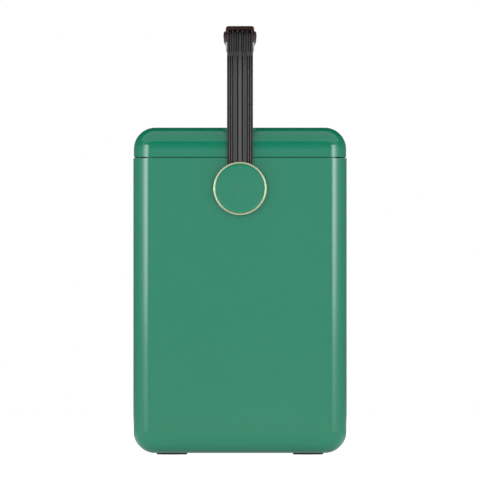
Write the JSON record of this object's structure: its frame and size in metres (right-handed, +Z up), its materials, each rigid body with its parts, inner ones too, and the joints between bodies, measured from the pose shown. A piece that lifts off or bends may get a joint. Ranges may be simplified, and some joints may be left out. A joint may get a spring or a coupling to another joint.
{
  "type": "compressor cooler fridge",
  "caption": "Portable compressor cooler fridge: narrow upright insulated tub with a side-hinged lid, machinery bay with vents, and a swinging strap-style carry handle.",
  "frame": {"origin": "on the floor under the centre of the cabinet's footprint", "axes": "+Z up; X across the narrow end faces, lid hinge on -X, control panel on +X; Y along the long sides, machinery at +Y"},
  "size_m": [0.2392, 0.463, 0.4806],
  "materials": {
    "green_plastic": "glossy injection moulded, jade green",
    "green_enamel": "glossy, jade green",
    "gold_metal": "polished pale gold",
    "white_liner": "fine matt, food-safe liner",
    "black_rubber": "matt moulded rubber",
    "strap_rubber": "satin ribbed rubber",
    "brown_leather": "padded and stitched",
    "dark_plastic": "fine texture",
    "key_plastic": "satin",
    "display_glass": "smoked window",
    "light_lens": "frosted",
    "rigid_foam": "closed-cell foam",
    "aluminium": "mill finish",
    "galvanised_steel": "galvanised",
    "steel_hardware": "zinc plated",
    "black_paint": "black enamel",
    "copper": "bright copper",
    "brass": "machined",
    "circuit_board": "solder mask"
  },
  "bodies": {
    "cabinet": {"outer_shell": "green_plastic", "top_collar": "green_plastic", "inner_liner": "white_liner", "foam_insulation": "rigid_foam", "evaporator_wrap": "aluminium", "bulkhead_plate": "galvanised_steel", "rubber_feet": "black_rubber", "foot_screws": "steel_hardware", "vent_grille_right": "dark_plastic", "vent_grille_left": "dark_plastic", "rear_grille": "dark_plastic", "machine_tray": "galvanised_steel", "compressor": "black_paint", "compressor_feet": "galvanised_steel", "compressor_grommets": "black_rubber", "compressor_bolts": "steel_hardware", "terminal_cover": "dark_plastic", "heat_sink": "aluminium", "drive_module": "dark_plastic", "condenser_tube": "copper", "condenser_fins": "aluminium", "fan_housing": "dark_plastic", "fan_motor": "dark_plastic", "fan_screws": "steel_hardware", "discharge_pipe": "copper", "suction_pipe": "copper", "filter_drier": "copper", "capillary_tube": "copper", "control_bezel": "dark_plastic", "display_lens": "display_glass", "panel_board": "circuit_board", "dc_socket": "dark_plastic", "fuse_holder": "dark_plastic", "interior_light": "light_lens", "temp_sensor": "white_liner", "hinge_body_leaves": "steel_hardware", "hinge_pins": "steel_hardware", "hinge_screws": "steel_hardware", "pivot_bolts": "steel_hardware", "pivot_inserts": "brass", "friction_washers": "white_liner"},
    "lid": {"lid_cover": "green_plastic", "lid_liner": "white_liner", "lid_foam": "rigid_foam", "lid_gasket": "black_rubber", "hinge_lid_leaves": "steel_hardware"},
    "handle": {"handle_strap_front": "strap_rubber", "handle_strap_rear": "strap_rubber", "handle_elbows": "strap_rubber", "grip_core": "strap_rubber", "grip_cover": "brown_leather", "medallions": "green_enamel", "trim_rings": "gold_metal"},
    "fan": {"fan_rotor": "dark_plastic"},
    "power_key": {"power_button": "key_plastic"},
    "mode_key": {"mode_button": "key_plastic"},
    "down_key": {"down_button": "key_plastic"},
    "up_key": {"up_button": "key_plastic"},
    "inlet_flap": {"socket_flap": "black_rubber"}
  },
  "joints": [
    {"name": "handle_swing", "type": "hinge", "parent": "cabinet", "child": "handle", "pos_m": [0, 0, 0.2986], "axis": [0, 1, 0], "range_deg": [-120, 120]},
    {"name": "lid_hinge", "type": "hinge", "parent": "cabinet", "child": "lid", "pos_m": [-0.117, 0, 0.336], "axis": [0, -1, 0], "range_deg": [0, 30]},
    {"name": "fan_spin", "type": "hinge", "parent": "cabinet", "child": "fan", "pos_m": [-0.075, 0.15, 0.225], "axis": [1, 0, 0], "continuous": true},
    {"name": "inlet_flap_hinge", "type": "hinge", "parent": "cabinet", "child": "inlet_flap", "pos_m": [0.076, 0.2222, 0.0667], "axis": [1, 0, 0], "range_deg": [0, 120]},
    {"name": "power_press", "type": "slide", "parent": "cabinet", "child": "power_key", "axis": [-1, 0, 0], "range_m": [0, 0.001], "stiffness_N_per_m": 800},
    {"name": "mode_press", "type": "slide", "parent": "cabinet", "child": "mode_key", "axis": [-1, 0, 0], "range_m": [0, 0.001], "stiffness_N_per_m": 800},
    {"name": "down_press", "type": "slide", "parent": "cabinet", "child": "down_key", "axis": [-1, 0, 0], "range_m": [0, 0.001], "stiffness_N_per_m": 800},
    {"name": "up_press", "type": "slide", "parent": "cabinet", "child": "up_key", "axis": [-1, 0, 0], "range_m": [0, 0.001], "stiffness_N_per_m": 800}
  ]
}
